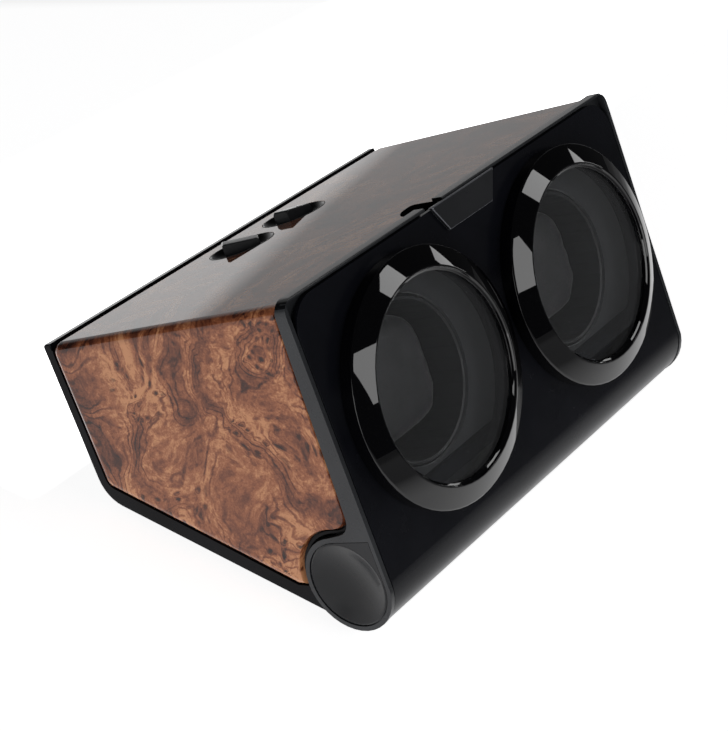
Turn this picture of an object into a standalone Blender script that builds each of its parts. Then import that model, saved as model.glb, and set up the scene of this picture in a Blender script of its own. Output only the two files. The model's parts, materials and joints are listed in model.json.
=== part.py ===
# Double watch winder box, laid out in millimetres and built in metres.
# Local axes before the tilt: X along the width, Y from the lid towards the back, Z up the lid.
# The whole box is then leaned back so that its sloping floor rests level.
import math

import bmesh
import bpy

MM = 0.001

# ---- driving dimensions -------------------------------------------------------------------
LEAN = 28.0                  # lean of the front, degrees
FOOT_H = 2.2
DEPTH_SHIFT = -86.0          # brings the middle of the depth over the origin

HALF_W = 117.5               # half width over the cheeks
FRAME_TOP = 116.0
CHEEK_IN = 115.5             # inner face of a cheek
LID_HALF = 114.9
LID_TOP = 113.8
LID_T = 2.5
LID_CORNER = 14.0

ROLL_Y, ROLL_Z = 20.0, 0.0   # axis of the roll and of the lid's hinge
ROLL_R = 20.0
ROLL_IN = 17.8
CHEEK_R = 20.3
TROUGH_R = 21.2
TROUGH_OUT = 22.6
COVER_R = 22.9

BACK_Y = 140.0
SHELL_HALF = 115.2
SHELL_TOP = 111.0
WALL = 2.4
SIDE_OUT = 113.6             # outer face of the shell's side wall under the burl
SIDE_IN = 111.6

COVER_HALF = 117.0
COVER_T = 2.2
COVER_EDGE = 4.6             # rounding of the cover's long edges and of its sides' edges
ARC_SHARE = 0.25             # how much of it the edge round the roll gets
FRONT_SHARE = 0.3            # how much of it the front edge gets
SHELL_EDGE = 1.6
COVER_FRONT = 5.8
COVER_BACK = 135.0
COVER_Z0 = 114.4             # height of the top at the front of the cover
COVER_Z1 = 110.64            # and at its back
COVER_SLOPE = math.degrees(math.atan((COVER_Z0 - COVER_Z1) / (COVER_BACK - COVER_FRONT)))

WIN_X, WIN_Z = 56.1, 57.0    # window and rotor axes
HOLE_R = 46.3
PANE_R = 43.2
CUP_R = 33.6
CUP_T = 1.6
CUP_FRONT = 9.3
CUP_BACK = 64.5
PLATE_Y = 72.0
PLATE_T = 3.0
GEAR_Y = 78.0
GEAR_W = 5.0
GEAR_TEETH = 40
PINION_TEETH = 10
MODULE = 1.2
PINION_X = WIN_X - MODULE * (GEAR_TEETH + PINION_TEETH) / 2

KNOB_XS = (-20.0, 17.0)
KNOB_Y = 108.0
KNOB_TURNS = (-45.0, 0.0)    # turn of each grip as the box stands
DISH_R = 14.8
FRAME_CORNER = 6.0

FLOOR = math.tan(math.radians(28.0))
FLOOR_Y, FLOOR_Z = 36.9, -14.4


def floor_z(y, up=0.0):
    """Height of the sloping underside at depth y, or of a line parallel to it and above it."""
    return FLOOR_Z + (y - FLOOR_Y) * FLOOR + up / math.cos(math.radians(28.0))


def top_z(y):
    return COVER_Z0 - (y - COVER_FRONT) * (COVER_Z0 - COVER_Z1) / (COVER_BACK - COVER_FRONT)


# ---- clean scene, collections, empties ------------------------------------------------------
for old in list(bpy.data.objects):
    bpy.data.objects.remove(old, do_unlink=True)

scene_root = bpy.context.scene.collection
parts = bpy.data.collections.new("watch_winder_box")
scene_root.children.link(parts)
tools = bpy.data.collections.new("cutters")
scene_root.children.link(tools)


def empty(name, location=(0, 0, 0), rotation=(0, 0, 0), parent=None):
    """Location in millimetres, rotation in degrees."""
    ob = bpy.data.objects.new(name, None)
    ob.empty_display_size = 0.01
    ob.location = [c * MM for c in location]
    ob.rotation_euler = [math.radians(a) for a in rotation]
    ob.parent = parent
    parts.objects.link(ob)
    return ob


lean = math.radians(LEAN)
base_up = FLOOR_Y * math.sin(lean) - FLOOR_Z * math.cos(lean) + FOOT_H
frame = empty("case_frame", (0, DEPTH_SHIFT, base_up), (-LEAN, 0, 0))
lid_axis = empty("lid_axis", (0, ROLL_Y, ROLL_Z), parent=frame)


# ---- materials --------------------------------------------------------------------------------
def material(name, colour, rough, metal=0.0, alpha=1.0):
    m = bpy.data.materials.new(name)
    m.use_nodes = True
    b = m.node_tree.nodes["Principled BSDF"]
    b.inputs["Base Color"].default_value = (*colour, 1.0)
    b.inputs["Roughness"].default_value = rough
    b.inputs["Metallic"].default_value = metal
    b.inputs["Alpha"].default_value = alpha
    m.diffuse_color = (*colour, alpha)
    return m


# ---- outline helpers ----------------------------------------------------------------------------
def rounded(corners, seg=5):
    """Closed outline from (u, v, radius) corners, each radius drawn as a short arc."""
    out = []
    n = len(corners)
    for i in range(n):
        u, v, r = corners[i]
        if r <= 0:
            out.append((u, v))
            continue
        pu, pv, _ = corners[i - 1]
        nu, nv, _ = corners[(i + 1) % n]
        a = (pu - u, pv - v)
        b = (nu - u, nv - v)
        la, lb = math.hypot(*a), math.hypot(*b)
        a = (a[0] / la, a[1] / la)
        b = (b[0] / lb, b[1] / lb)
        half = math.acos(max(-1.0, min(1.0, a[0] * b[0] + a[1] * b[1]))) / 2
        cut = r / math.tan(half)
        mid = (a[0] + b[0], a[1] + b[1])
        lm = math.hypot(*mid)
        c = (u + mid[0] / lm * r / math.sin(half), v + mid[1] / lm * r / math.sin(half))
        a0 = math.atan2(v + a[1] * cut - c[1], u + a[0] * cut - c[0])
        a1 = math.atan2(v + b[1] * cut - c[1], u + b[0] * cut - c[0])
        sweep = (a1 - a0 + math.pi) % (2 * math.pi) - math.pi
        for k in range(seg + 1):
            t = a0 + sweep * k / seg
            out.append((c[0] + r * math.cos(t), c[1] + r * math.sin(t)))
    return out


def arc(cu, cv, r, start, end, seg):
    """Points along an arc, angles in degrees."""
    pts = []
    for k in range(seg + 1):
        t = math.radians(start + (end - start) * k / seg)
        pts.append((cu + r * math.cos(t), cv + r * math.sin(t)))
    return pts


def outline_mesh(name, outlines, half_depth):
    """Mesh of filled outlines extruded both ways along local Z."""
    curve = bpy.data.curves.new(name, "CURVE")
    curve.dimensions = "2D"
    curve.fill_mode = "BOTH"
    curve.extrude = half_depth * MM
    for pts in outlines:
        sp = curve.splines.new("POLY")
        sp.points.add(len(pts) - 1)
        for p, (u, v) in zip(sp.points, pts):
            p.co = (u * MM, v * MM, 0, 1)
        sp.use_cyclic_u = True
    tmp = bpy.data.objects.new(name + "_outline", curve)
    tools.objects.link(tmp)
    deps = bpy.context.evaluated_depsgraph_get()
    mesh = bpy.data.meshes.new_from_object(tmp.evaluated_get(deps))
    bpy.data.objects.remove(tmp, do_unlink=True)
    mesh.name = name
    bm = bmesh.new()
    bm.from_mesh(mesh)
    bmesh.ops.remove_doubles(bm, verts=bm.verts, dist=1e-7)
    bmesh.ops.recalc_face_normals(bm, faces=bm.faces)
    bm.to_mesh(mesh)
    bm.free()
    return mesh


def place(name, mesh, mat, where, rotation, parent, cutter=False):
    ob = bpy.data.objects.new(name, mesh)
    ob.location = [c * MM for c in where]
    ob.rotation_euler = [math.radians(a) for a in rotation]
    ob.parent = parent
    if cutter:
        ob.hide_render = True
        ob.display_type = "WIRE"
        tools.objects.link(ob)
    else:
        mesh.materials.clear()
        mesh.materials.append(mat)
        parts.objects.link(ob)
    return ob


def across(name, outlines, x0, x1, mat=None, parent=None, cutter=False, shift=(0, 0)):
    """Outline in (Y, Z) extruded from x0 to x1."""
    if isinstance(outlines[0][0], (int, float)):
        outlines = [outlines]
    moved = [[(u - shift[0], v - shift[1]) for u, v in o] for o in outlines]
    mesh = outline_mesh(name, moved, (x1 - x0) / 2)
    where = ((x0 + x1) / 2, shift[0] if parent is frame else 0, shift[1] if parent is frame else 0)
    return place(name, mesh, mat, where, (90, 0, 90), parent or frame, cutter)


def facing(name, outlines, y0, y1, mat=None, parent=None, cutter=False, shift=(0, 0, 0)):
    """Outline in (X, Z) extruded from depth y0 to y1; shift is the parent's own position."""
    if isinstance(outlines[0][0], (int, float)):
        outlines = [outlines]
    moved = [[(u - shift[0], v - shift[2]) for u, v in o] for o in outlines]
    mesh = outline_mesh(name, moved, (y1 - y0) / 2)
    return place(name, mesh, mat, (0, (y0 + y1) / 2 - shift[1], 0), (90, 0, 0), parent or frame, cutter)


def box_outline(u0, u1, v0, v1):
    return [(u0, v0), (u1, v0), (u1, v1), (u0, v1)]


def circle(cu, cv, r, seg=48, turn=0.0):
    return arc(cu, cv, r, turn, turn + 360.0 * (seg - 1) / seg, seg - 1)


def turned(name, profile, where, rotation, mat=None, parent=None, steps=48, cutter=False, closed=True):
    """Profile of (radius, height) points turned about local Z with a Screw modifier."""
    mesh = bpy.data.meshes.new(name)
    n = len(profile)
    edges = [(i, i + 1) for i in range(n - 1)]
    if closed:
        edges.append((n - 1, 0))
    mesh.from_pydata([(r * MM, 0, h * MM) for r, h in profile], edges, [])
    ob = place(name, mesh, mat, where, rotation, parent or frame, cutter)
    s = ob.modifiers.new("turn", "SCREW")
    s.axis = "Z"
    s.angle = math.radians(360)
    s.steps = steps
    s.render_steps = steps
    s.use_merge_vertices = True
    s.merge_threshold = 1e-6
    return ob


def cut(ob, cutter, mode="DIFFERENCE"):
    b = ob.modifiers.new("cut", "BOOLEAN")
    b.operation = mode
    b.solver = "EXACT"
    b.object = cutter
    return b


def round_edges(ob, chosen, radius, seg=3):
    """Rounds the edges of a part's mesh for which chosen(a, b) holds; a and b in millimetres."""
    bm = bmesh.new()
    bm.from_mesh(ob.data)
    bmesh.ops.dissolve_limit(bm, angle_limit=math.radians(0.5), verts=bm.verts, edges=bm.edges)
    picked = []
    for e in bm.edges:
        a, b = [v.co / MM for v in e.verts]
        if chosen(a, b):
            picked.append(e)
    bmesh.ops.bevel(bm, geom=picked, offset=radius * MM, segments=seg, profile=0.5,
                    affect="EDGES", clamp_overlap=True)
    bm.to_mesh(ob.data)
    bm.free()


def drawn_in(outline, moves):
    """Outline with each edge moved inwards by its own distance; moves[i] is for the edge after point i."""
    n = len(outline)
    area = sum(outline[i - 1][0] * outline[i][1] - outline[i][0] * outline[i - 1][1] for i in range(n))
    sign = 1.0 if area > 0 else -1.0
    normals = []
    for i in range(n):
        d = (outline[(i + 1) % n][0] - outline[i][0], outline[(i + 1) % n][1] - outline[i][1])
        length = math.hypot(*d)
        normals.append((d[1] / length * sign, -d[0] / length * sign))
    out = []
    for i in range(n):
        n1, n2 = normals[i - 1], normals[i]
        d1, d2 = moves[i - 1], moves[i]
        det = n1[0] * n2[1] - n1[1] * n2[0]
        if abs(det) < 0.02:
            du, dv = -n1[0] * (d1 + d2) / 2, -n1[1] * (d1 + d2) / 2
        else:
            du, dv = (d2 * n1[1] - d1 * n2[1]) / det, (d1 * n2[0] - d2 * n1[0]) / det
        out.append((outline[i][0] + du, outline[i][1] + dv))
    return out


def pillowed(name, outline, half, radius, shares, mat, seg):
    """Outline in (Y, Z) extruded across the box, the edges of its two ends rounded over."""
    loops = []
    for k in range(seg + 1):
        phi = math.radians(90.0 * k / seg)
        moves = [radius * share * (1 - math.sin(phi)) for share in shares]
        loops.append((half - radius * (1 - math.cos(phi)), drawn_in(outline, moves)))
    stack = [(-x, pts) for x, pts in loops] + [(x, pts) for x, pts in reversed(loops)]
    bm = bmesh.new()
    rings = [[bm.verts.new((u * MM, v * MM, x * MM)) for u, v in pts] for x, pts in stack]
    n = len(outline)
    for low, high in zip(rings, rings[1:]):
        for i in range(n):
            j = (i + 1) % n
            bm.faces.new((low[i], low[j], high[j], high[i]))
    caps = [bm.faces.new(rings[0]), bm.faces.new(rings[-1])]
    bmesh.ops.triangulate(bm, faces=caps, ngon_method="EAR_CLIP")
    bmesh.ops.recalc_face_normals(bm, faces=bm.faces)
    mesh = bpy.data.meshes.new(name)
    bm.to_mesh(mesh)
    bm.free()
    return place(name, mesh, mat, (0, 0, 0), (90, 0, 90), frame)


def finish(ob, angle=35.0):
    """Smooth shading with crisp edges kept."""
    mesh = ob.data
    mesh.shade_smooth()
    mesh.set_sharp_from_angle(angle=math.radians(angle))


# ---- colours ---------------------------------------------------------------------------------------
black_satin = material("black_satin_plastic", (0.022, 0.023, 0.027), 0.42)
shell_black = material("black_moulded_shell", (0.02, 0.021, 0.024), 0.5)
frame_grey = material("dark_frame_plastic", (0.035, 0.036, 0.039), 0.4)
burl = material("burl_lacquer", (0.26, 0.115, 0.05), 0.12)
gloss_black = material("gloss_black_ring", (0.008, 0.008, 0.01), 0.08)
clear = material("clear_pane", (0.9, 0.92, 0.93), 0.03, 0.0, 0.25)
badge_mat = material("badge_black", (0.03, 0.03, 0.032), 0.3)
cap_mat = material("end_cap_black", (0.03, 0.031, 0.034), 0.32)
lining = material("panel_lining", (0.03, 0.031, 0.037), 0.9)
cup_mat = material("rotor_cup_black", (0.02, 0.02, 0.024), 0.6)
leather = material("cushion_leather", (0.035, 0.033, 0.035), 0.65)
steel = material("bright_steel", (0.62, 0.62, 0.63), 0.3, 1.0)
brass = material("bearing_brass", (0.72, 0.52, 0.22), 0.3, 1.0)
acetal = material("gear_acetal", (0.82, 0.82, 0.78), 0.45)
pinion_mat = material("pinion_acetal", (0.75, 0.74, 0.68), 0.45)
zinc = material("plated_steel", (0.55, 0.56, 0.57), 0.38, 1.0)
motor_mat = material("motor_can", (0.5, 0.5, 0.52), 0.32, 1.0)
board_mat = material("circuit_board", (0.03, 0.16, 0.07), 0.5)
switch_mat = material("switch_body", (0.05, 0.08, 0.16), 0.5)
dish_mat = material("dish_black", (0.02, 0.02, 0.022), 0.25)
knob_mat = material("knob_black", (0.024, 0.024, 0.026), 0.35)
socket_mat = material("socket_black", (0.02, 0.02, 0.02), 0.5)
magnet_mat = material("nickel_magnet", (0.68, 0.67, 0.65), 0.25, 1.0)
rubber = material("foot_rubber", (0.018, 0.018, 0.018), 0.85)
screw_mat = material("screw_zinc", (0.6, 0.6, 0.6), 0.35, 1.0)

# ---- base shell: floor, back, side walls and the trough behind the roll ----------------------------
corner_z = floor_z(BACK_Y)
shell_side = [(FLOOR_Y, FLOOR_Z)]
shell_side += rounded([(FLOOR_Y, FLOOR_Z, 0), (BACK_Y, corner_z, 15.0), (BACK_Y, SHELL_TOP, 1.4),
                       (COVER_BACK + 0.5, SHELL_TOP, 0)], 6)[1:]
shell_side += [(COVER_BACK + 0.5, top_z(COVER_BACK) - COVER_T - 0.4), (9.5, top_z(9.5) - COVER_T - 0.4),
               (9.5, 23.6)]
shell_side += arc(ROLL_Y, ROLL_Z, TROUGH_R, 112, -42, 18)
base_shell = across("base_shell", shell_side, -SHELL_HALF, SHELL_HALF, shell_black)
round_edges(base_shell, lambda a, b: abs(a.z - b.z) < 0.01 and abs(a.z) > SHELL_HALF - 0.1
            and (a.x + b.x) / 2 > 50 and (min(a.x, b.x) > COVER_BACK + 0.3 or max(a.y, b.y) < 50),
            SHELL_EDGE, 3)

inner = rounded([(TROUGH_OUT + 21.5, floor_z(TROUGH_OUT + 21.5, WALL), 0),
                 (BACK_Y - WALL, floor_z(BACK_Y - WALL, WALL), 12.6),
                 (BACK_Y - WALL, SHELL_TOP - WALL, 0.9), (COVER_BACK + 0.5, SHELL_TOP - WALL, 0)], 6)
inner += [(COVER_BACK + 0.5, 130.0), (-5.0, 130.0), (-5.0, 25.4), (9.0, 25.4)]
inner += arc(ROLL_Y, ROLL_Z, TROUGH_OUT, 118, -1, 16)
cut(base_shell, across("shell_hollow", inner, -SIDE_IN, SIDE_IN, cutter=True))

# footprint of the burl sides
foot = rounded([(COVER_FRONT, COVER_Z0, 0), (COVER_BACK, COVER_Z1, 4.8), (COVER_BACK, 46.3, 5.2),
                (48.5, -0.7, 0)], 4)
cover_arc = arc(ROLL_Y, ROLL_Z, COVER_R, -3, -3, 1)[:1] + arc(ROLL_Y, ROLL_Z, COVER_R, 12, 88, 10)
cover_tail = rounded([(cover_arc[-1][0], cover_arc[-1][1], 0), (9.3, 22.8, 8.0), (COVER_FRONT, COVER_Z0, 0)],
                     5)[1:-1]
cover_side = foot + cover_arc + cover_tail


def grown(outline, gap):
    """Outline moved outwards by a gap, for clearance."""
    n = len(outline)
    area = sum(outline[i - 1][0] * outline[i][1] - outline[i][0] * outline[i - 1][1] for i in range(n))
    sign = 1.0 if area > 0 else -1.0
    out = []
    for i in range(n):
        p, q, r = outline[i - 1], outline[i], outline[(i + 1) % n]
        d1 = (q[0] - p[0], q[1] - p[1])
        d2 = (r[0] - q[0], r[1] - q[1])
        l1, l2 = math.hypot(*d1), math.hypot(*d2)
        n1 = (d1[1] / l1 * sign, -d1[0] / l1 * sign)
        n2 = (d2[1] / l2 * sign, -d2[0] / l2 * sign)
        k = 1.0 + n1[0] * n2[0] + n1[1] * n2[1]
        k = max(k, 0.4)
        out.append((q[0] + (n1[0] + n2[0]) / k * gap, q[1] + (n1[1] + n2[1]) / k * gap))
    return out


rebate = grown(cover_side, 0.45)
cut(base_shell, across("rebate_left", rebate, -130.0, -SIDE_OUT, cutter=True))
cut(base_shell, across("rebate_right", rebate, SIDE_OUT, 130.0, cutter=True))
SOCKET_X, SOCKET_Z = 42.0, 84.0
cut(base_shell, facing("socket_hole", circle(SOCKET_X, SOCKET_Z, 5.3, 24), BACK_Y - 8, BACK_Y + 5, cutter=True))
SCREW_XS = (-80.0, -28.0, 28.0, 80.0)
SCREW_Y = 86.0
for i, sx in enumerate(SCREW_XS):
    bore = turned("floor_bore_%d" % (i + 1), [(0, 8), (1.7, 8), (1.7, -8), (0, -8)],
                  (sx, SCREW_Y, floor_z(SCREW_Y)), (LEAN, 0, 0), steps=16, cutter=True, closed=False)
    cut(base_shell, bore)
cheek = [(0.0, 0.0), (0.0, FRAME_TOP), (5.2, FRAME_TOP), (5.3, COVER_Z0 + 0.1), (8.4, 33.0)]
cheek += rounded([(8.4, 33.0, 0), (9.0, 22.0, 7.2), (20.0, 20.6, 0)], 5)[1:-1]
cheek += arc(ROLL_Y, ROLL_Z, CHEEK_R, 88, -180, 28)[:-1]
finish(base_shell)

# ---- burl cover: left side, top and right side in one piece ----------------------------------------
cover_shares = [1.0] * (len(foot) - 1) + [0.7] + [ARC_SHARE] * len(cover_arc)
cover_shares += [FRONT_SHARE] * len(cover_tail)
burl_cover = pillowed("burl_cover", cover_side, COVER_HALF, COVER_EDGE, cover_shares, burl, 5)
under = [(-10.0, top_z(-10.0) - COVER_T), (150.0, top_z(150.0) - COVER_T), (150.0, -60.0), (-10.0, -60.0)]
cut(burl_cover, across("cover_hollow", under, -SIDE_OUT - 0.35, SIDE_OUT + 0.35, cutter=True))
notch = rounded([(-26.2, -6.0, 0), (-26.2, 16.7, 9.2), (-11.3, 17.2, 2.7), (-11.3, -6.0, 0)], 5)


def flat(name, outline, z0, z1, mat=None, cutter=False):
    """Outline in (X, Y) extruded from z0 to z1."""
    mesh = outline_mesh(name, [outline], (z1 - z0) / 2)
    return place(name, mesh, mat, (0, 0, (z0 + z1) / 2), (0, 0, 0), frame, cutter)


cut(burl_cover, flat("notch_through", notch, 108.0, 120.0, cutter=True))
knob_bases = []
for i, kx in enumerate(KNOB_XS):
    side = ("left", "right")[i]
    base = empty("knob_seat_" + side, (kx, KNOB_Y, top_z(KNOB_Y)), (-COVER_SLOPE, 0, 0), frame)
    knob_bases.append(base)
    cut(burl_cover, turned("dish_hole_" + side, [(0, 6), (DISH_R + 0.3, 6), (DISH_R + 0.3, -6), (0, -6)],
                           (0, 0, 0), (0, 0, 0), parent=base, steps=36, cutter=True, closed=False))
finish(burl_cover)

# ---- front frame: top bar, ledge behind the lid and the two cheeks ---------------------------------
front_frame = across("front_frame", cheek, -HALF_W, HALF_W, frame_grey)


def frame_front_edge(a, b):
    if max(a.x, b.x) > 0.05:
        return False
    if min(abs(a.z), abs(b.z)) > HALF_W - 0.05 and min(a.y, b.y) > 0.5:
        return True
    return min(a.y, b.y) > FRAME_TOP - 6.0 and not (abs(a.z - b.z) < 0.01 and abs(a.z) < HALF_W - 6)


round_edges(front_frame, frame_front_edge, 0.7, 2)
pocket = flat("finger_pocket", rounded([(-27.0, 3.3, 0), (-27.0, 18.0, 8.0), (-10.5, 18.0, 2.0),
                                        (-10.5, 3.3, 0)], 4), 106.0, 111.0, cutter=True)
cut(front_frame, across("lid_bay", box_outline(-5, 3.1, 20.0, FRAME_TOP - 1.2), -CHEEK_IN, CHEEK_IN,
                        cutter=True))
cut(front_frame, across("roll_bay", box_outline(-5, 60, -40, 26.0), -CHEEK_IN, CHEEK_IN, cutter=True))
cut(front_frame, across("frame_mouth", box_outline(-5, 60, 20.0, 108.0), -111.5, 111.5, cutter=True))
cut(front_frame, pocket, "UNION")
collar = flat("notch_collar", rounded([(-25.9, 3.3, 0), (-25.9, 16.4, 8.9), (-11.6, 16.9, 2.4),
                                       (-11.6, 3.3, 0)], 5), 110.0, COVER_Z0 + 0.1, cutter=True)
cut(front_frame, collar, "UNION")
scoop = flat("finger_scoop", rounded([(-25.0, -6.0, 0), (-25.0, 15.5, 8.0), (-12.5, 16.0, 1.5),
                                      (-12.5, -6.0, 0)], 5), 108.2, 120.0, cutter=True)
cut(front_frame, scoop)
for side, sgn in (("left", -1), ("right", 1)):
    cx, cz = HALF_W - FRAME_CORNER + 0.02, FRAME_TOP - FRAME_CORNER + 0.02
    corner = arc(cx, cz, FRAME_CORNER, 90, 0, 8) + [(HALF_W + 3, cz), (HALF_W + 3, FRAME_TOP + 3), (cx, FRAME_TOP + 3)]
    corner = [(sgn * u, v) for u, v in corner]
    cut(front_frame, facing("frame_corner_" + side, corner, -2.0, 7.0, cutter=True))
for side, sgn in (("left", -1), ("right", 1)):
    hole = turned("cheek_hole_" + side, [(0, 8), (15.9, 8), (15.9, -8), (0, -8)],
                  (sgn * HALF_W, ROLL_Y, ROLL_Z), (0, 90, 0), steps=40, cutter=True, closed=False)
    cut(front_frame, hole)
    seat = [(20.0, 18.3), (1.7, 18.3), (1.7, 0.0)] + arc(ROLL_Y, ROLL_Z, 18.3, 180, 448, 34)[1:]
    xa = HALF_W - 1.15
    lo, hi = (xa, HALF_W + 3) if sgn > 0 else (-HALF_W - 3, -xa)
    cut(front_frame, across("cap_seat_" + side, seat, lo, hi, cutter=True))
finish(front_frame)

# ---- end caps: dished covers that carry the lid's trunnions ------------------------------------------
CAP_DISH = 16.4
dish_pts = []
for k in range(6):
    r = CAP_DISH * k / 5
    dish_pts.append((r, -4.2 + 3.9 * (r / CAP_DISH) ** 2))
cap_profile = dish_pts + [(17.3, -0.05), (17.9, -0.3), (17.9, -1.0), (15.5, -1.0), (15.5, -4.0), (13.0, -6.4),
                          (4.0, -6.4), (4.0, -16.5), (3.5, -17.0), (0, -17.0)]
for side, sgn in (("left", -1), ("right", 1)):
    cap = turned("end_cap_" + side, cap_profile, (sgn * HALF_W, ROLL_Y, ROLL_Z), (0, 90 * sgn, 0), cap_mat,
                 steps=44, closed=False)
    corner = [(2.0, 0.0), (4.2, 0.0)] + arc(ROLL_Y, ROLL_Z, 17.0, 178, 92, 10) + [(19.4, 18.0), (2.0, 18.0)]
    lo, hi = (HALF_W - 1.0, HALF_W - 0.15) if sgn > 0 else (-HALF_W + 0.15, -HALF_W + 1.0)
    cut(cap, across("cap_corner_" + side, corner, lo, hi, cutter=True), "UNION")
    finish(cap)

# ---- lid: front panel and roll in one piece -----------------------------------------------------------
AX = (0.0, ROLL_Y, ROLL_Z)
lid_side = [(0.0, LID_TOP), (LID_T, LID_TOP)]
join_z = math.sqrt(ROLL_R ** 2 - (ROLL_Y - LID_T) ** 2)
start = math.degrees(math.atan2(join_z, LID_T - ROLL_Y))
lid_side += arc(ROLL_Y, ROLL_Z, ROLL_R, start, -180, 44)
lid_panel = across("lid_panel", lid_side, -LID_HALF, LID_HALF, black_satin, lid_axis, shift=(ROLL_Y, ROLL_Z))
round_edges(lid_panel, lambda a, b: abs(a.z - b.z) < 0.01 and abs(a.z) > LID_HALF - 0.1
            and min(a.y, b.y) > LID_TOP - 0.1, LID_CORNER, 8)
front_u = -ROLL_Y


def lid_front_edge(a, b):
    if max(a.x, b.x) > front_u + 0.05:
        return False
    end = min(abs(a.z), abs(b.z)) > LID_HALF - 0.05 and max(a.y, b.y) > 1.0
    top = min(a.y, b.y) > LID_TOP - LID_CORNER - 0.1
    return end or top


round_edges(lid_panel, lid_front_edge, 0.9, 2)
roll_bore = across("roll_bore", circle(0, 0, ROLL_IN, 40), -105.0, 105.0, parent=lid_axis, cutter=True)
cut(lid_panel, roll_bore)
for side, sgn in (("left", -1), ("right", 1)):
    pocket_bore = turned("roll_end_" + side, [(0, 12), (ROLL_IN, 12), (ROLL_IN, -7), (0, -7)],
                         (sgn * LID_HALF, 0, 0), (0, 90 * sgn, 0), parent=lid_axis, steps=40, cutter=True,
                         closed=False)
    cut(lid_panel, pocket_bore)
    bush = turned("roll_bush_" + side, [(0, 3), (4.3, 3), (4.3, -14), (0, -14)],
                  (sgn * LID_HALF, 0, 0), (0, 90 * sgn, 0), parent=lid_axis, steps=24, cutter=True,
                  closed=False)
    cut(lid_panel, bush)
    opening = facing("window_hole_" + side, circle(sgn * WIN_X, WIN_Z, HOLE_R, 56), -2.0, 2.95,
                     parent=lid_axis, cutter=True, shift=AX)
    cut(lid_panel, opening)
finish(lid_panel)

ring_profile = [(42.2, 9.6), (42.6, 10.4), (43.4, 10.3), (51.2, 6.7), (51.9, 6.0), (51.6, 0.1), (46.0, 0.1),
                (46.0, -2.4), (43.5, -2.4), (43.5, 8.2), (41.3, 8.2), (41.3, 9.1)]
pane_profile = [(0, 8.1), (43.0, 8.1), (43.2, 7.9), (43.2, 6.3), (43.0, 6.1), (0, 6.1)]
for side, sgn in (("left", -1), ("right", 1)):
    spot = (sgn * WIN_X, -ROLL_Y, WIN_Z - ROLL_Z)
    ring = turned("window_ring_" + side, ring_profile, spot, (90, 0, 0), gloss_black, lid_axis, steps=60)
    finish(ring, 25)
    pane = turned("window_pane_" + side, pane_profile, spot, (90, 0, 0), clear, lid_axis, steps=48,
                  closed=False)
    finish(pane)

badge_plate = facing("badge_plate", [(-22.8, 115.0), (22.8, 115.0), (15.7, 102.9), (-15.7, 102.9)], -1.9, -0.1,
                     badge_mat, lid_axis, shift=AX)
round_edges(badge_plate, lambda a, b: min(a.z, b.z) > 0.8, 0.5, 2)
finish(badge_plate, 30)
catch_plate = facing("catch_plate", rounded([(-9, 106.4, 1.5), (9, 106.4, 1.5), (9, 110.8, 1.5),
                                             (-9, 110.8, 1.5)], 3), 1.4, LID_T + 0.1, steel, lid_axis, shift=AX)
cut(lid_panel, facing("catch_recess", rounded([(-9.3, 106.1, 1.5), (9.3, 106.1, 1.5), (9.3, 111.1, 1.5),
                                               (-9.3, 111.1, 1.5)], 3), 1.3, LID_T + 2, parent=lid_axis,
                      cutter=True, shift=AX))
finish(catch_plate)
catch_magnet = turned("catch_magnet", [(0, 1.7), (2.0, 1.7), (2.3, 1.4), (2.3, -1.7), (0, -1.7)],
                      (0, 5.0, 108.6), (90, 0, 0), magnet_mat, steps=24, closed=False)
finish(catch_magnet)
magnet_bore = turned("magnet_bore", [(0, 3), (2.5, 3), (2.5, -1.8), (0, -1.8)], (0, 5.0, 108.6), (90, 0, 0),
                     steps=24, cutter=True, closed=False)
magnet_boss = across("magnet_boss", box_outline(3.3, 7.6, 105.0, 111.3), -5.0, 5.0, cutter=True)
cut(front_frame, magnet_boss, "UNION")
cut(front_frame, magnet_bore)

# ---- inner panel with two round mouths ------------------------------------------------------------------
panel = rounded([(-111.1, 21.4, 1.0), (111.1, 21.4, 1.0), (111.1, 110.4, 2.0), (-111.1, 110.4, 2.0)], 3)
tab = rounded([(-28.0, 112.0, 0), (-28.0, 105.0, 1.0), (-9.5, 105.0, 1.0), (-9.5, 112.0, 0)], 2)
inner_panel = facing("inner_panel", [panel], 8.7, 10.5, lining)
cut(inner_panel, facing("pocket_room", tab, 8.0, 12.0, cutter=True))
for side, sgn in (("left", -1), ("right", 1)):
    mouth = facing("mouth_" + side, circle(sgn * WIN_X, WIN_Z, 34.3, 56), 5.0, 20.0, cutter=True)
    cut(inner_panel, mouth)
finish(inner_panel)

# ---- rotors: cup, cushion, shaft and driven gear ---------------------------------------------------------
cup_profile = [(CUP_R - CUP_T, -CUP_FRONT - 0.4), (CUP_R - 0.6, -CUP_FRONT), (CUP_R, -CUP_FRONT - 0.6),
               (CUP_R, -CUP_BACK + 4.0), (CUP_R - 4.0, -CUP_BACK), (7.0, -CUP_BACK), (7.0, -CUP_BACK - 4.0),
               (3.1, -CUP_BACK - 4.0), (3.1, -CUP_BACK + 2.2), (CUP_R - 5.0, -CUP_BACK + 2.2),
               (CUP_R - CUP_T, -CUP_BACK + 5.6)]


def toothed(teeth, module, phase):
    """Outline of a spur gear with straight-flanked teeth."""
    pitch_r = teeth * module / 2
    pts = []
    for t in range(teeth):
        base = 360.0 / teeth * t + phase
        step = 360.0 / teeth
        for frac, r in ((-0.33, pitch_r - 1.2 * module), (-0.11, pitch_r + 0.9 * module),
                        (0.11, pitch_r + 0.9 * module), (0.33, pitch_r - 1.2 * module)):
            a = math.radians(base + frac * step)
            pts.append((r * math.cos(a), r * math.sin(a)))
    return pts


def axis_seat(name, x):
    """Empty on a rotor or motor axis, its local Z pointing out of the front."""
    return empty(name, (x, 0, WIN_Z), (90, 0, 0), frame)


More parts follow.
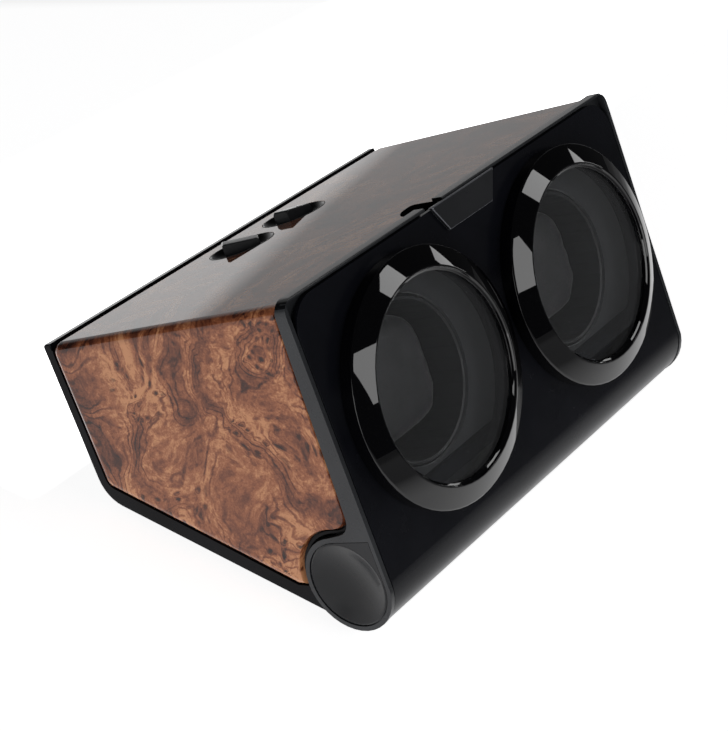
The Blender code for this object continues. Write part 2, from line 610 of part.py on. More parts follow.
def gear(name, teeth, bore, phase, parent, mat):
    outlines = [toothed(teeth, MODULE, phase)]
    if bore:
        outlines.append(circle(0, 0, bore, 20))
    mesh = outline_mesh(name, outlines, GEAR_W / 2)
    ob = place(name, mesh, mat, (0, 0, -GEAR_Y - GEAR_W / 2), (0, 0, 0), parent)
    finish(ob, 20)
    return ob


for side, sgn in (("left", -1), ("right", 1)):
    rotor = axis_seat("rotor_axis_" + side, sgn * WIN_X)
    cup = turned("rotor_cup_" + side, cup_profile, (0, 0, 0), (0, 0, 0), cup_mat, rotor, steps=40)
    finish(cup)
    pad = rounded([(-28.5, -25.0, 16.0), (28.5, -25.0, 16.0), (28.5, 25.0, 16.0), (-28.5, 25.0, 16.0)], 5)
    mesh = outline_mesh("cushion_" + side, [pad], 21.0)
    cushion = place("cushion_" + side, mesh, leather, (0, 0, -38.5), (0, 0, 0), rotor)
    round_edges(cushion, lambda a, b: abs(a.z - b.z) < 0.01, 5.0, 2)
    finish(cushion, 60)
    shaft = turned("rotor_shaft_" + side, [(0, -60.7), (2.6, -60.7), (3.0, -61.2), (3.0, -88.6), (2.6, -89.0),
                                           (0, -89.0)], (0, 0, 0), (0, 0, 0), steel, rotor, steps=24,
                   closed=False)
    finish(shaft)
    gear("drive_gear_" + side, GEAR_TEETH, 3.1, 0.0, rotor, acetal)
    pin = axis_seat("motor_axis_" + side, sgn * PINION_X)
    pinion = gear("motor_pinion_" + side, PINION_TEETH, 0, 18.0, pin, pinion_mat)
    stub = turned("pinion_stub_" + side, [(0, -82.0), (1.5, -82.0), (1.5, -86.3), (0, -86.3)], (0, 0, 0),
                  (0, 0, 0), parent=pin, steps=16, cutter=True, closed=False)
    cut(pinion, stub, "UNION")

# ---- gear plate, bearings, brackets, motors ---------------------------------------------------------------
y1 = PLATE_Y + PLATE_T
flange_t = 3.0
plate_side = [(PLATE_Y, floor_z(PLATE_Y, WALL + 0.3)), (100.0, floor_z(100.0, WALL + 0.3)),
              (100.0, floor_z(100.0, WALL + 0.3 + flange_t)), (y1, floor_z(y1, WALL + 0.3 + flange_t)),
              (y1, 98.0), (PLATE_Y, 98.0)]
gear_plate = across("gear_plate", plate_side, -96.0, 96.0, zinc)
for side, sgn in (("left", -1), ("right", 1)):
    bore = facing("bearing_bore_" + side, circle(sgn * WIN_X, WIN_Z, 6.2, 24), PLATE_Y - 2, y1 + 2, cutter=True)
    cut(gear_plate, bore)
for i, sx in enumerate(SCREW_XS):
    bore = turned("plate_bore_%d" % (i + 1), [(0, 12), (1.7, 12), (1.7, -8), (0, -8)],
                  (sx, SCREW_Y, floor_z(SCREW_Y)), (LEAN, 0, 0), steps=16, cutter=True, closed=False)
    cut(gear_plate, bore)
    screw = turned("plate_screw_%d" % (i + 1), [(0, 7.6), (1.4, 7.4), (1.4, -0.3), (3.0, -0.3),
                                                (2.6, -1.4), (1.0, -1.7), (1.0, -0.9), (0, -0.9)],
                   (sx, SCREW_Y, floor_z(SCREW_Y)), (LEAN, 0, 0), screw_mat, steps=14, closed=False)
    finish(screw)
finish(gear_plate)
bush_profile = [(3.3, -PLATE_Y + 1.6), (8.0, -PLATE_Y + 1.6), (8.0, -PLATE_Y + 0.3), (6.0, -PLATE_Y + 0.3),
                (6.0, -PLATE_Y - PLATE_T - 1.5), (3.3, -PLATE_Y - PLATE_T - 1.5)]
for side, sgn in (("left", -1), ("right", 1)):
    bush = turned("bearing_" + side, bush_profile, (sgn * WIN_X, 0, WIN_Z), (90, 0, 0), brass, steps=24)
    finish(bush)
    xs = sorted((sgn * 1.6, sgn * 9.6))
    bracket = [(1.6, y1 + 0.3), (9.6, y1 + 0.3), (9.6, 86.0), (40.0, 86.0), (40.0, 88.0), (7.6, 88.0),
               (7.6, y1 + 2.3), (1.6, y1 + 2.3)]
    bracket = [(sgn * u, v) for u, v in bracket]
    br = flat("motor_bracket_" + side, bracket, WIN_Z - 12.0, WIN_Z + 12.0, zinc)
    cut(br, facing("bracket_bore_" + side, circle(sgn * PINION_X, WIN_Z, 4.2, 20), 84.0, 90.0, cutter=True))
    finish(br)
    motor = turned("motor_" + side, [(0, -86.6), (3.6, -86.6), (3.6, -88.3), (11.2, -88.3), (11.8, -88.9),
                                     (11.8, -113.4), (11.2, -114.0), (4.0, -114.0), (4.0, -115.6),
                                     (0, -115.6)], (sgn * PINION_X, 0, WIN_Z), (90, 0, 0), motor_mat, steps=24,
                   closed=False)
    finish(motor)

# ---- selector knobs, dishes, switches, board, socket ----------------------------------------------------------
dish_profile = [(3.6, -3.9), (8.4, -3.9), (10.2, -3.5), (11.9, -2.7), (13.2, -1.5), (14.0, -0.2), (14.35, 0.15),
                (DISH_R, 0.0), (DISH_R, -3.4), (13.0, -5.0), (3.6, -5.0)]
grip_side = [(-8.0, -2.6), (8.0, -2.6), (8.0, 1.2), (7.2, 1.8), (-7.2, 4.2), (-8.0, 3.6)]
for i, side in enumerate(("left", "right")):
    base = knob_bases[i]
    dish = turned("knob_dish_" + side, dish_profile, (0, 0, 0), (0, 0, 0), dish_mat, base, steps=36)
    finish(dish)
    axle = empty("knob_axis_" + side, (0, 0, 0), (0, 0, KNOB_TURNS[i]), base)
    knob = turned("knob_" + side, [(0, -1.8), (8.2, -1.8), (8.7, -2.2), (8.7, -3.4), (3.2, -3.4), (3.2, -7.7),
                                   (0, -7.7)], (0, 0, 0), (0, 0, 0), knob_mat, axle, steps=36, closed=False)
    grip = outline_mesh("grip_" + side, [grip_side], 4.3)
    grip_ob = place("grip_wedge_" + side, grip, None, (0, 0, 0), (90, 0, 0), axle, cutter=True)
    round_edges(grip_ob, lambda a, b: min(a.y, b.y) > 1.0 and abs(a.z - b.z) < 0.01, 0.7, 2)
    cut(knob, grip_ob, "UNION")
    finish(knob)
    switch = outline_mesh("selector_switch_" + side, [box_outline(-7.5, 7.5, -7.5, 7.5)], 3.1)
    sw = place("selector_switch_" + side, switch, switch_mat, (0, 0, -11.1), (0, 0, 0), base)
    finish(sw)
board = outline_mesh("control_board", [rounded([(-42.0, -16.0, 1.5), (52.0, -16.0, 1.5), (52.0, 18.0, 1.5),
                                                (-42.0, 18.0, 1.5)], 2)], 0.8)
board_seat = empty("board_seat", (0, KNOB_Y, top_z(KNOB_Y)), (-COVER_SLOPE, 0, 0), frame)
control_board = place("control_board", board, board_mat, (0, 0, -15.4), (0, 0, 0), board_seat)
finish(control_board)
socket_profile = [(2.9, -BACK_Y - 1.2), (2.9, -BACK_Y + 9.0), (4.9, -BACK_Y + 9.0), (4.9, -BACK_Y - 0.3),
                  (6.4, -BACK_Y - 0.3), (6.2, -BACK_Y - 1.2)]
socket = turned("power_socket", socket_profile, (SOCKET_X, 0, SOCKET_Z), (90, 0, 0), socket_mat, steps=24)
finish(socket)

# ---- feet ------------------------------------------------------------------------------------------------------
n = 0
for fy in (52.0, 118.0):
    for fx in (-96.0, 96.0):
        n += 1
        foot_ob = turned("foot_%d" % n, [(0, -0.05), (7.0, -0.05), (7.0, -FOOT_H + 0.6), (6.4, -FOOT_H), (0, -FOOT_H)],
                         (fx, fy, floor_z(fy)), (LEAN, 0, 0), rubber, steps=24, closed=False)
        finish(foot_ob)

bpy.context.view_layer.update()
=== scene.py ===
import json
import math

import bmesh
import bpy
from mathutils import Matrix, Vector


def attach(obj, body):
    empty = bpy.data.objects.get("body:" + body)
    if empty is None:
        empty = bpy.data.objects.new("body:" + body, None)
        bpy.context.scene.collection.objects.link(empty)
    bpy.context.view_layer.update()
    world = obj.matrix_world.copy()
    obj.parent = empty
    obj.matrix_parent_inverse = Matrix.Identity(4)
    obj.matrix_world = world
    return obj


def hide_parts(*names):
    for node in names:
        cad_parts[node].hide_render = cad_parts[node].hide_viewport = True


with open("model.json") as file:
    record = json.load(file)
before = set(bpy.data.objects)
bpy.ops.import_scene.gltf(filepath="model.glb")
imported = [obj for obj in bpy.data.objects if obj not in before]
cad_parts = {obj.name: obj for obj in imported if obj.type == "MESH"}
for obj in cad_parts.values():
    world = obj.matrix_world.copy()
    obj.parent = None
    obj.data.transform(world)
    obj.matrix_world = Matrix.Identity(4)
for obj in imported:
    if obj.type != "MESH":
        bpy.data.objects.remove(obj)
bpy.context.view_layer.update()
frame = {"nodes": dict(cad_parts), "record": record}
MM = 0.001
scene = bpy.context.scene
scene.view_settings.view_transform = "Standard"

# The box's own axes: X across, Y into the box, Z up the leaning front.
LEAN = Matrix.Translation((0, -0.0860, 0.032238)) @ Matrix.Rotation(math.radians(-28), 4, "X")


# ---- node helpers ----------------------------------------------------------------------------
class Tree:
    """Short hand for building a material's nodes."""

    def __init__(self, name):
        self.mat = bpy.data.materials.new(name)
        self.mat.use_nodes = True
        self.nodes = self.mat.node_tree.nodes
        self.links = self.mat.node_tree.links
        self.bsdf = self.nodes["Principled BSDF"]
        self.out = self.nodes["Material Output"]
        tc = self.nodes.new("ShaderNodeTexCoord")
        self.place = tc.outputs["Object"]

    def add(self, kind, **values):
        n = self.nodes.new("ShaderNode" + kind)
        for key, value in values.items():
            setattr(n, key, value)
        return n

    def put(self, socket, value):
        if isinstance(value, bpy.types.NodeSocket):
            self.links.new(value, socket)
        elif value is not None:
            socket.default_value = value

    def set(self, **values):
        for key, value in values.items():
            self.put(self.bsdf.inputs[key.replace("_", " ")], value)

    def math(self, op, a, b=None, clamp=False):
        n = self.add("Math", operation=op, use_clamp=clamp)
        self.put(n.inputs[0], a)
        self.put(n.inputs[1], b)
        return n.outputs[0]

    def vec(self, op, a, b=None, scale=None):
        n = self.add("VectorMath", operation=op)
        self.put(n.inputs[0], a)
        self.put(n.inputs[1], b)
        if scale is not None:
            self.put(n.inputs["Scale"], scale)
        return n.outputs[0]

    def noise(self, scale, detail=2.0, rough=0.5, where=None, colour=False):
        n = self.add("TexNoise")
        self.put(n.inputs["Vector"], where or self.place)
        n.inputs["Scale"].default_value = scale
        n.inputs["Detail"].default_value = detail
        n.inputs["Roughness"].default_value = rough
        return n.outputs["Color" if colour else "Fac"]

    def voronoi(self, scale, where=None, feature="F1"):
        n = self.add("TexVoronoi", feature=feature)
        self.put(n.inputs["Vector"], where or self.place)
        n.inputs["Scale"].default_value = scale
        return n

    def span(self, value, a0, a1, b0=0.0, b1=1.0):
        n = self.add("MapRange", clamp=True)
        self.put(n.inputs["Value"], value)
        for key, v in (("From Min", a0), ("From Max", a1), ("To Min", b0), ("To Max", b1)):
            n.inputs[key].default_value = v
        return n.outputs["Result"]

    def ramp(self, value, stops):
        n = self.add("ValToRGB")
        self.put(n.inputs["Fac"], value)
        r = n.color_ramp
        while len(r.elements) < len(stops):
            r.elements.new(0.5)
        for e, (pos, col) in zip(r.elements, stops):
            e.position = pos
            e.color = (*col, 1.0)
        return n.outputs["Color"]

    def mix(self, fac, a, b):
        n = self.add("Mix", data_type="RGBA", blend_type="MIX")
        self.put(n.inputs[0], fac)
        self.put(n.inputs[6], a)
        self.put(n.inputs[7], b)
        return n.outputs[2]

    def bump(self, height, strength, distance, normal=None):
        n = self.add("Bump")
        n.inputs["Strength"].default_value = strength
        n.inputs["Distance"].default_value = distance
        self.put(n.inputs["Height"], height)
        if normal is not None:
            self.put(n.inputs["Normal"], normal)
        return n.outputs["Normal"]


def srgb(r, g, b):
    """Linear colour from 0-255 display values."""
    return tuple(((c / 255 + 0.055) / 1.055) ** 2.4 if c > 10 else c / 255 / 12.92 for c in (r, g, b))


def rgba(c):
    return (*c, 1.0)


# ---- materials ---------------------------------------------------------------------------------
def moulded(name, low, high, rough, grain=900.0, depth=0.00003, spec=0.5, spread=0.08):
    """Moulded plastic: fine grain, faint patches of colour and of gloss."""
    t = Tree(name)
    patch = t.noise(26.0, 4.0, 0.6)
    fine = t.noise(grain, 2.0, 0.5)
    t.set(Base_Color=t.mix(t.span(patch, 0.35, 0.65), rgba(low), rgba(high)))
    t.set(Roughness=t.span(t.noise(60.0, 5.0, 0.65), 0.3, 0.7, rough - spread / 2, rough + spread / 2))
    t.set(Normal=t.bump(fine, 0.35, depth), Specular_IOR_Level=spec)
    return t.mat


def metal(name, colour, rough, brush=(1, 1, 1), scale=700.0):
    t = Tree(name)
    m = t.add("Mapping")
    t.links.new(t.place, m.inputs["Vector"])
    m.inputs["Scale"].default_value = brush
    streak = t.noise(scale, 3.0, 0.6, where=m.outputs["Vector"])
    patch = t.span(t.noise(40.0, 4.0), 0.3, 0.7)
    t.set(Base_Color=t.mix(patch, rgba([c * 0.8 for c in colour]), rgba(colour)))
    t.set(Metallic=1.0, Roughness=t.span(streak, 0.3, 0.7, rough - 0.08, rough + 0.1))
    t.set(Normal=t.bump(streak, 0.2, 0.00001))
    return t.mat


def burl_material():
    t = Tree("burl_veneer_lacquered")
    half = (0.5, 0.5, 0.5)
    # slow, middling and fine warps, so that the figure flows and curls
    slow = t.vec("SUBTRACT", t.noise(10.0, 2.0, 0.5, colour=True), half)
    p1 = t.vec("ADD", t.place, t.vec("SCALE", slow, scale=0.07))
    mid = t.vec("SUBTRACT", t.noise(42.0, 2.0, 0.55, where=p1, colour=True), half)
    p2 = t.vec("ADD", p1, t.vec("SCALE", mid, scale=0.017))
    fine = t.vec("SUBTRACT", t.noise(210.0, 3.0, 0.6, where=p2, colour=True), half)
    p3 = t.vec("ADD", p2, t.vec("SCALE", fine, scale=0.0032))
    # a few large knots with rings round them
    knot_cell = t.voronoi(17.0, where=p2).outputs["Distance"]
    knot = t.span(knot_cell, 0.02, 0.36, 1.0, 0.0)
    core = t.span(knot_cell, 0.05, 0.19, 1.0, 0.0)
    # clusters of pin-head eyes
    cell = t.voronoi(205.0, where=p3).outputs["Distance"]
    cluster = t.span(t.noise(17.0, 1.5, 0.5, where=p1), 0.54, 0.60)
    pupil = t.math("MULTIPLY", t.span(cell, 0.16, 0.30, 1.0, 0.0), cluster)
    halo = t.math("MULTIPLY", t.span(cell, 0.25, 0.50, 1.0, 0.0), cluster)
    field = t.noise(12.0, 1.5, 0.5, where=p3)
    field = t.math("ADD", field, t.math("MULTIPLY", knot, 0.16))
    field = t.math("ADD", field, t.math("MULTIPLY", halo, 0.02))
    wave = t.math("SINE", t.math("MULTIPLY", field, 300.0))
    lines = t.span(wave, 0.35, 1.0)
    broad = t.math("SINE", t.math("MULTIPLY", field, 62.0))
    fade = t.span(t.noise(55.0, 3.0, 0.6, where=p2), 0.38, 0.62)
    lines = t.math("MULTIPLY", lines, fade)
    cloud = t.noise(16.0, 4.0, 0.62, where=p2)
    fleck = t.noise(340.0, 4.0, 0.75, where=p3)
    grit = t.noise(1100.0, 2.0, 0.6)
    tone = t.math("MULTIPLY", cloud, 0.95)
    for part, weight in ((broad, 0.075), (lines, -0.21), (fleck, 0.56), (grit, 0.20), (halo, -0.10),
                         (core, -0.26)):
        tone = t.math("ADD", tone, t.math("MULTIPLY", part, weight))
    colour = t.ramp(tone, [(0.52, srgb(38, 19, 14)), (0.66, srgb(76, 39, 27)), (0.78, srgb(116, 65, 43)),
                           (0.89, srgb(150, 91, 60)), (1.0, srgb(192, 134, 94))])
    colour = t.mix(t.math("MULTIPLY", pupil, 0.85), colour, rgba(srgb(34, 17, 13)))
    t.set(Base_Color=colour)
    t.set(Roughness=t.span(fleck, 0.3, 0.7, 0.36, 0.52), Specular_IOR_Level=0.0)
    t.set(Normal=t.bump(t.math("ADD", lines, fleck), 0.12, 0.00005))
    t.set(Coat_Weight=1.0, Coat_Roughness=0.03, Coat_IOR=1.42)
    return t.mat


def clear_pane():
    t = Tree("clear_window_pane")
    film = t.span(t.noise(35.0, 3.0, 0.6), 0.4, 0.75, 0.0, 0.035)
    t.set(Base_Color=(0.93, 0.95, 0.96, 1.0), Roughness=film, IOR=1.46, Transmission_Weight=1.0)
    trick = t.add("MixShader")
    path = t.add("LightPath")
    through = t.add("BsdfTransparent")
    t.links.new(path.outputs["Is Shadow Ray"], trick.inputs[0])
    t.links.new(t.bsdf.outputs[0], trick.inputs[1])
    t.links.new(through.outputs[0], trick.inputs[2])
    t.links.new(trick.outputs[0], t.out.inputs["Surface"])
    return t.mat


def leather_material():
    t = Tree("cushion_leatherette")
    pebble = t.voronoi(900.0, feature="DISTANCE_TO_EDGE").outputs["Distance"]
    crease = t.noise(70.0, 6.0, 0.6)
    t.set(Base_Color=t.mix(t.span(crease, 0.35, 0.7), rgba(srgb(22, 21, 23)), rgba(srgb(44, 42, 44))))
    t.set(Roughness=t.span(pebble, 0.0, 0.25, 0.62, 0.45), Sheen_Weight=0.15)
    first = t.bump(crease, 0.3, 0.0004)
    t.set(Normal=t.bump(t.span(pebble, 0.0, 0.12), 0.4, 0.00006, first))
    return t.mat


def lining_material():
    t = Tree("flocked_lining")
    nap = t.noise(1600.0, 3.0, 0.7)
    t.set(Base_Color=t.mix(t.span(nap, 0.3, 0.7), rgba(srgb(12, 12, 15)), rgba(srgb(25, 25, 31))))
    t.set(Roughness=0.95, Sheen_Weight=0.3, Sheen_Roughness=0.5, Normal=t.bump(nap, 0.5, 0.0001))
    return t.mat


def gloss_material(name, colour, rough, coat=0.6):
    t = Tree(name)
    wave = t.noise(45.0, 2.0, 0.5)
    dust = t.noise(1400.0, 1.0, 0.5)
    t.set(Base_Color=t.mix(t.span(dust, 0.62, 0.75), rgba(colour), rgba([c * 1.6 + 0.002 for c in colour])))
    t.set(Roughness=t.span(wave, 0.3, 0.7, 0.3, 0.42), Specular_IOR_Level=0.0)
    t.set(Coat_Weight=coat, Coat_Roughness=rough, Coat_IOR=1.5)
    t.set(Normal=t.bump(wave, 0.05, 0.0002))
    return t.mat


mats = {
    "burl": burl_material(),
    "shell": moulded("shell_moulded_black", srgb(11, 11, 13), srgb(20, 20, 24), 0.22, 1300.0, 0.00003,
                     0.07),
    "rim": gloss_material("shell_rim_gloss", srgb(12, 12, 14), 0.10, 1.0),
    "lid": moulded("lid_satin_black", srgb(15, 16, 21), srgb(21, 22, 28), 0.25, 1700.0, 0.00002, 0.10),
    "frame": moulded("frame_satin_grey", srgb(40, 41, 44), srgb(49, 51, 54), 0.28, 1500.0, 0.00002, 0.3),
    "ring": gloss_material("ring_piano_black", srgb(5, 5, 7), 0.02, 1.0),
    "pane": clear_pane(),
    "frame_top": moulded("frame_top_black", srgb(8, 8, 10), srgb(14, 14, 17), 0.14, 1500.0, 0.00001, 0.5),
    # painted shade: a dull near-black for the inside of the finger notch
    "notch_shade": moulded("notch_painted_shade", srgb(2, 2, 3), srgb(5, 5, 6), 0.8, 1200.0, 0.00002, 0.0),
    # painted highlight: a light grey for the badge's bevelled edges
    "edge": moulded("badge_edge_painted_highlight", srgb(105, 106, 112), srgb(128, 130, 136), 0.25, 1500.0, 0.00001,
                    0.5),
    "badge": moulded("badge_satin_black", srgb(28, 29, 32), srgb(36, 37, 40), 0.3, 1600.0, 0.00002),
    "cap": moulded("end_cap_semi_gloss", srgb(28, 29, 31), srgb(37, 38, 41), 0.22, 1200.0, 0.00002, 0.25),
    "lining": lining_material(),
    "cup": moulded("rotor_cup_black", srgb(11, 11, 13), srgb(18, 18, 21), 0.55, 1000.0, 0.00004),
    "leather": leather_material(),
    "dish": moulded("dish_black", srgb(10, 10, 11), srgb(17, 17, 18), 0.30, 1300.0, 0.00002, 0.2),
    "knob": moulded("knob_black", srgb(28, 29, 31), srgb(40, 41, 44), 0.34, 1300.0, 0.00003, 0.25),
    "socket": moulded("socket_black", srgb(12, 12, 13), srgb(22, 22, 24), 0.4),
    "rubber": moulded("foot_rubber_black", srgb(16, 16, 16), srgb(30, 30, 30), 0.85, 700.0, 0.0001, 0.3),
    "steel": metal("turned_steel", (0.62, 0.62, 0.63), 0.25, (1, 1, 14)),
    "zinc": metal("zinc_plated_steel", (0.56, 0.57, 0.58), 0.35),
    "brass": metal("bearing_brass", (0.75, 0.54, 0.22), 0.3),
    "can": metal("motor_can_steel", (0.5, 0.5, 0.52), 0.3, (8, 1, 1)),
    "nickel": metal("magnet_nickel", (0.68, 0.67, 0.65), 0.22),
    "acetal": moulded("gear_acetal", srgb(214, 214, 206), srgb(232, 232, 226), 0.42, 900.0, 0.00002),
    "board": moulded("board_solder_mask", srgb(16, 84, 44), srgb(24, 104, 56), 0.4, 500.0, 0.00004),
    "switch": moulded("switch_moulding", srgb(28, 44, 78), srgb(38, 56, 96), 0.45),
}

wears = {
    "base_shell": "shell", "burl_cover": "burl", "front_frame": "frame", "lid_panel": "lid",
    "badge_plate": "badge", "inner_panel": "lining", "gear_plate": "zinc", "control_board": "board",
    "power_socket": "socket", "catch_magnet": "nickel", "catch_plate": "steel",
}
for kind, mat in (("window_ring", "ring"), ("window_pane", "pane"), ("end_cap", "cap"),
                  ("rotor_cup", "cup"),
                  ("rotor_shaft", "steel"), ("bearing", "brass"), ("drive_gear", "acetal"),
                  ("motor_pinion", "acetal"), ("motor_bracket", "zinc"), ("motor", "can"),
                  ("selector_switch", "switch"), ("knob_dish", "dish"), ("knob", "knob"),
                  ("cushion", "leather")):
    wears[kind + "_left"] = mat
    wears[kind + "_right"] = mat
for i in range(1, 5):
    wears["plate_screw_%d" % i] = "zinc"
    wears["foot_%d" % i] = "rubber"

for name, ob in frame["nodes"].items():
    ob.data.materials.clear()
    ob.data.materials.append(mats[wears[name]])
    for poly in ob.data.polygons:
        poly.material_index = 0

# ---- skins: the CAD shape with its edges broken and its curves smooth ---------------------------
SKINS = {
    "burl_cover": (0.5, 3), "base_shell": (0.9, 3), "front_frame": (0.25, 2), "lid_panel": (0.25, 2),
    "badge_plate": (0.4, 3), "end_cap_left": (0.2, 2), "end_cap_right": (0.2, 2),
    "window_ring_left": (0.15, 2), "window_ring_right": (0.15, 2),
    "knob_left": (0.25, 2), "knob_right": (0.25, 2),
    "knob_dish_left": (0.15, 2), "knob_dish_right": (0.15, 2),
}


# In the box's own millimetres: the finger notch, the front frame's top bar and the shell's rim.
NOTCH_X = (-26.4, -11.0)
NOTCH_Y, NOTCH_Z = 2.9, 106.5
BAR_Z = 108.0
RIM_Z = 105.0


def body_of(node):
    for body, members in frame["record"]["behaviour"]["bodies"].items():
        if node in members:
            return body
    return None


def skin(node, width, segments):
    src = frame["nodes"][node]
    mesh = src.data.copy()
    mesh.name = node + "_skin"
    bm = bmesh.new()
    bm.from_mesh(mesh)
    bmesh.ops.remove_doubles(bm, verts=bm.verts, dist=2e-6)
    bmesh.ops.dissolve_limit(bm, angle_limit=math.radians(0.6), verts=bm.verts, edges=bm.edges)
    own = LEAN.inverted()
    up = own.to_3x3()
    if node == "front_frame":
        mesh.materials.append(mats["frame_top"])
        mesh.materials.append(mats["notch_shade"])
        for face in bm.faces:
            c = own @ face.calc_center_median() / MM
            n = up @ face.normal
            # painted shade: faces inside the finger notch take a dull near-black that stands for the shade
            # in the recess
            if NOTCH_X[0] < c.x < NOTCH_X[1] and c.z > NOTCH_Z and c.y > NOTCH_Y:
                face.material_index = 2
            elif n.z > 0.55 and c.z > BAR_Z:
                face.material_index = 1
    if node == "badge_plate":
        mesh.materials.append(mats["edge"])
    if node == "base_shell":
        mesh.materials.append(mats["rim"])
        for face in bm.faces:
            c = own @ face.calc_center_median() / MM
            if c.z > RIM_Z and (up @ face.normal).z > 0.35:
                face.material_index = 1
    bm.to_mesh(mesh)
    bm.free()
    ob = bpy.data.objects.new(node + "_skin", mesh)
    scene.collection.objects.link(ob)
    mesh.shade_smooth()
    bev = ob.modifiers.new("edge", "BEVEL")
    bev.width = width * MM
    bev.segments = segments
    bev.limit_method = "ANGLE"
    bev.angle_limit = math.radians(28)
    bev.use_clamp_overlap = True
    bev.harden_normals = True
    # painted highlight: the bevel's new faces on the badge take the light edge colour
    if node == "badge_plate":
        bev.material = 1
    wn = ob.modifiers.new("normals", "WEIGHTED_NORMAL")
    wn.keep_sharp = True
    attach(ob, body_of(node))
    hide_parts(node)
    return ob


# ---- stage: floor, lights, camera ----------------------------------------------------------------
AWAY = Vector((0.445, -0.8955, 0.0))     # towards the side where the floor is painted into shade


def floor_material():
    """Pale paper that glows a little, a glow standing in for light, and falls into painted shade past the
    right-hand front.
    """
    t = Tree("studio_paper")
    where = t.add("SeparateXYZ")
    t.links.new(t.place, where.inputs[0])
    run = t.math("ADD", t.math("MULTIPLY", where.outputs[0], AWAY.x),
                 t.math("MULTIPLY", where.outputs[1], AWAY.y))
    # painted shade: past this line the paper's colour darkens and its glow dims
    shade = t.span(run, 0.170, 0.30, 1.0, 0.16)
    far = t.math("ADD", t.math("MULTIPLY", where.outputs[0], 0.707),
                 t.math("MULTIPLY", where.outputs[1], 0.707))
    # painted light: the paper's glow, weaker far behind the box
    glow = t.span(far, 0.47, 0.54, 0.86, 0.34)
    # painted light: a glowing patch, brightest just behind the box, where the burl's rounded back edge
    # mirrors it
    behind = t.math("MULTIPLY", t.span(where.outputs[0], -0.135, -0.12),
                    t.span(where.outputs[1], 0.08, 0.10))
    behind = t.math("MULTIPLY", behind, t.span(where.outputs[1], 0.22, 0.30, 1.6, 0.0))
    glow = t.math("ADD", glow, behind)
    fibre = t.noise(300.0, 3.0, 0.6)
    paper = t.mix(t.span(fibre, 0.3, 0.7), rgba((0.78, 0.78, 0.79)), rgba((0.82, 0.82, 0.83)))
    # the paper's colour carries the painted shade, and its emission the painted light
    t.set(Base_Color=t.mix(shade, rgba((0.30, 0.30, 0.31)), paper))
    t.set(Roughness=0.9, Specular_IOR_Level=0.1)
    t.set(Emission_Color=rgba((1.0, 1.0, 1.0)), Emission_Strength=t.math("MULTIPLY", shade, glow))
    return t.mat


bm = bmesh.new()
bmesh.ops.create_grid(bm, x_segments=1, y_segments=1, size=20.0)
floor_mesh = bpy.data.meshes.new("studio_floor")
bm.to_mesh(floor_mesh)
bm.free()
floor_mesh.materials.append(floor_material())
studio_floor = bpy.data.objects.new("studio_floor", floor_mesh)
scene.collection.objects.link(studio_floor)


def softbox(name, size, way, distance, glow):
    """Rectangular light in a direction from the box, glow being its radiance."""
    data = bpy.data.lights.new(name, "AREA")
    data.shape = "RECTANGLE"
    data.size, data.size_y = size
    data.energy = glow * math.pi * size[0] * size[1]
    ob = bpy.data.objects.new(name, data)
    ob.location = Vector(way).normalized() * distance + Vector((0, 0, 0.07))
    ob.rotation_euler = (Vector((0, 0, 0.07)) - ob.location).to_track_quat("-Z", "Y").to_euler()
    scene.collection.objects.link(ob)
    return ob


softbox("side_left", (1.3, 0.9), (-1.0, -0.30, 0.24), 1.6, 2.3)
softbox("ring_upper", (0.34, 0.34), (0.53, -0.52, 0.67), 1.5, 4.6)
softbox("ring_left", (0.42, 0.52), (0.03, -0.86, 0.50), 1.5, 3.6)
softbox("ring_strip", (0.10, 0.40), (0.93, -0.26, 0.26), 1.5, 3.0)

world = bpy.data.worlds.new("studio_air")
scene.world = world
world.use_nodes = True
air = world.node_tree
bg = air.nodes["Background"]
coord = air.nodes.new("ShaderNodeTexCoord")


def glow_towards(way, low, high, strength):
    """Soft patch of the studio wall, brightest towards a direction."""
    dot = air.nodes.new("ShaderNodeVectorMath")
    dot.operation = "DOT_PRODUCT"
    dot.inputs[1].default_value = way
    air.links.new(coord.outputs["Generated"], dot.inputs[0])
    near = air.nodes.new("ShaderNodeMapRange")
    near.inputs["From Min"].default_value = low
    near.inputs["From Max"].default_value = high
    near.inputs["To Min"].default_value = 0.0
    near.inputs["To Max"].default_value = strength
    air.links.new(dot.outputs["Value"], near.inputs["Value"])
    return near.outputs["Result"]


total = air.nodes.new("ShaderNodeMath")
total.operation = "ADD"
air.links.new(glow_towards((0.70, 0.70, -0.14), 0.70, 0.92, 0.50), total.inputs[0])
air.links.new(glow_towards((0.70, -0.71, 0.07), 0.88, 0.99, 0.12), total.inputs[1])
dim = air.nodes.new("ShaderNodeMath")
dim.operation = "ADD"
dim.inputs[1].default_value = 0.025
air.links.new(total.outputs[0], dim.inputs[0])
air.links.new(dim.outputs[0], bg.inputs["Strength"])
bg.inputs["Color"].default_value = (0.97, 0.98, 1.0, 1.0)

cam_data = bpy.data.cameras.new("camera")
cam = bpy.data.objects.new("camera", cam_data)
scene.collection.objects.link(cam)
right = Vector((0.5771, -0.8149, 0.0552))
up = Vector((0.4247, 0.3572, 0.8319))
back = right.cross(up)
look = Matrix((right, up, back)).transposed().to_4x4()
cam.matrix_world = Matrix.Translation((-0.6009, -0.3854, 0.5066)) @ look
cam_data.sensor_fit = "HORIZONTAL"
cam_data.sensor_width = 36.0
cam_data.lens = 1961.8 / 728 * 36.0
cam_data.clip_start = 0.05
cam_data.clip_end = 60.0
scene.camera = cam

for node, (width, segments) in SKINS.items():
    skin(node, width, segments)


# ---- cushions: a filled leatherette cover, puffed up by a short cloth run ------------------------
START_SIZE = 0.94          # of the CAD cushion, so that the puffed cover stays inside its box
CLOTH_FRAMES = 20
MOST_PUFF = 0.0026         # metres a point may move outwards
SEAM_AT = 0.010            # metres from the waist, on one side
SEAM_REACH, SEAM_DEPTH = 0.004, 0.0011


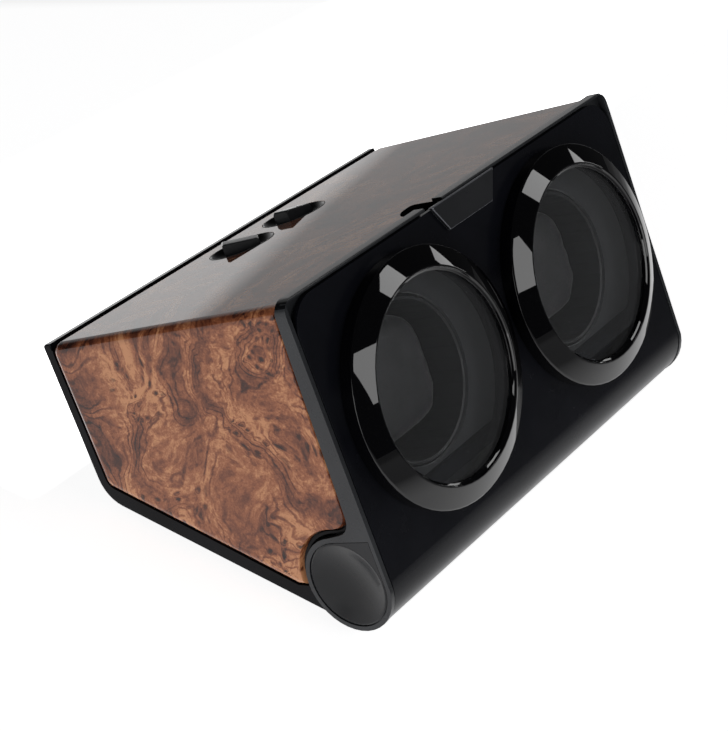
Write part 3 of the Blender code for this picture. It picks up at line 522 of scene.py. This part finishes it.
def cushion_skin(node):
    src = frame["nodes"][node]
    mesh = src.data.copy()
    mesh.name = node + "_cover"
    ob = bpy.data.objects.new(node + "_cover", mesh)
    scene.collection.objects.link(ob)
    middle = sum((v.co for v in mesh.vertices), Vector()) / len(mesh.vertices)
    tilt = Matrix.Rotation(math.radians(-28), 4, "X").to_3x3()
    axes = [tilt @ Vector(a) for a in ((1, 0, 0), (0, 1, 0), (0, 0, 1))]
    for v in mesh.vertices:
        v.co = middle + (v.co - middle) * START_SIZE
    rem = ob.modifiers.new("even", "REMESH")
    rem.mode = "VOXEL"
    rem.voxel_size = 0.0042
    deps = bpy.context.evaluated_depsgraph_get()
    even = bpy.data.meshes.new_from_object(ob.evaluated_get(deps))
    ob.modifiers.clear()
    ob.data = even
    rest = [v.co.copy() for v in even.vertices]
    group = ob.vertex_groups.new(name="held")
    seam = [i for i, c in enumerate(rest) if abs((c - middle).dot(axes[1])) < 0.0026
            and abs((c - middle).dot(axes[0])) > 0.015]
    group.add(seam, 1.0, "REPLACE")
    cloth = ob.modifiers.new("puff", "CLOTH")
    cs = cloth.settings
    cs.quality = 6
    cs.mass = 0.2
    cs.tension_stiffness = 12
    cs.compression_stiffness = 12
    cs.shear_stiffness = 6
    cs.bending_stiffness = 0.6
    cs.use_pressure = True
    cs.uniform_pressure_force = 4.0
    cs.vertex_group_mass = "held"
    cs.effector_weights.gravity = 0.0
    cloth.collision_settings.use_collision = False
    cloth.point_cache.frame_start = 1
    cloth.point_cache.frame_end = CLOTH_FRAMES
    for f in range(1, CLOTH_FRAMES + 1):
        scene.frame_set(f)
    deps = bpy.context.evaluated_depsgraph_get()
    puffed = bpy.data.meshes.new_from_object(ob.evaluated_get(deps))
    ob.modifiers.clear()
    for i, v in enumerate(puffed.vertices):
        move = v.co - rest[i]
        if move.length > MOST_PUFF:
            move = move.normalized() * MOST_PUFF
        v.co = rest[i] + move
    ob.data = puffed
    scene.frame_set(1)
    # the stitched seam round the waist, and the piping groove beside it
    me = ob.data
    for v in me.vertices:
        off = v.co - middle
        d = abs(off.dot(axes[1]) - SEAM_AT)
        if d < SEAM_REACH:
            flat = off - axes[1] * off.dot(axes[1])
            v.co -= flat.normalized() * SEAM_DEPTH * (1.0 - d / SEAM_REACH)
    me.materials.clear()
    me.materials.append(mats["leather"])
    me.shade_smooth()
    sub = ob.modifiers.new("smooth", "SUBSURF")
    sub.levels = 1
    sub.render_levels = 1
    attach(ob, body_of(node))
    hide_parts(node)
    return ob


for node in ("cushion_left", "cushion_right"):
    cushion_skin(node)
